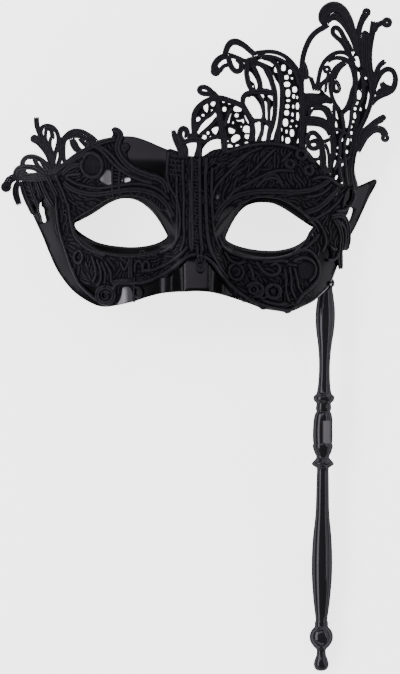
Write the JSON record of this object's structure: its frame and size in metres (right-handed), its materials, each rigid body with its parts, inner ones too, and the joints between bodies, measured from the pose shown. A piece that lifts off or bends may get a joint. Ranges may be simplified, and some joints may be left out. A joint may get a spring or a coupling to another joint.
{
  "type": "lace masquerade mask",
  "caption": "Half-face costume mask on a turned stick handle: a glossy moulded shell under corded lace that rises in a tall plume over one side.",
  "frame": {"origin": "centre of the outer box's base, with the mask lying loose and face up on a flat surface", "axes": "+X to the viewer's right as the face is looked at, the side with the plume and the handle; +Y up the face, from the handle's finial towards the plume; +Z out of the face, away from the surface it lies on"},
  "size_m": [0.1967, 0.3342, 0.0594],
  "materials": {
    "shell_plastic": "satin to gloss black",
    "lace_thread": "matt black thread, stitched into raised cords",
    "handle_plastic": "high gloss black"
  },
  "bodies": {
    "root": {"mask_shell": "shell_plastic", "lace_applique": "lace_thread", "handle": "handle_plastic"}
  },
  "joints": []
}
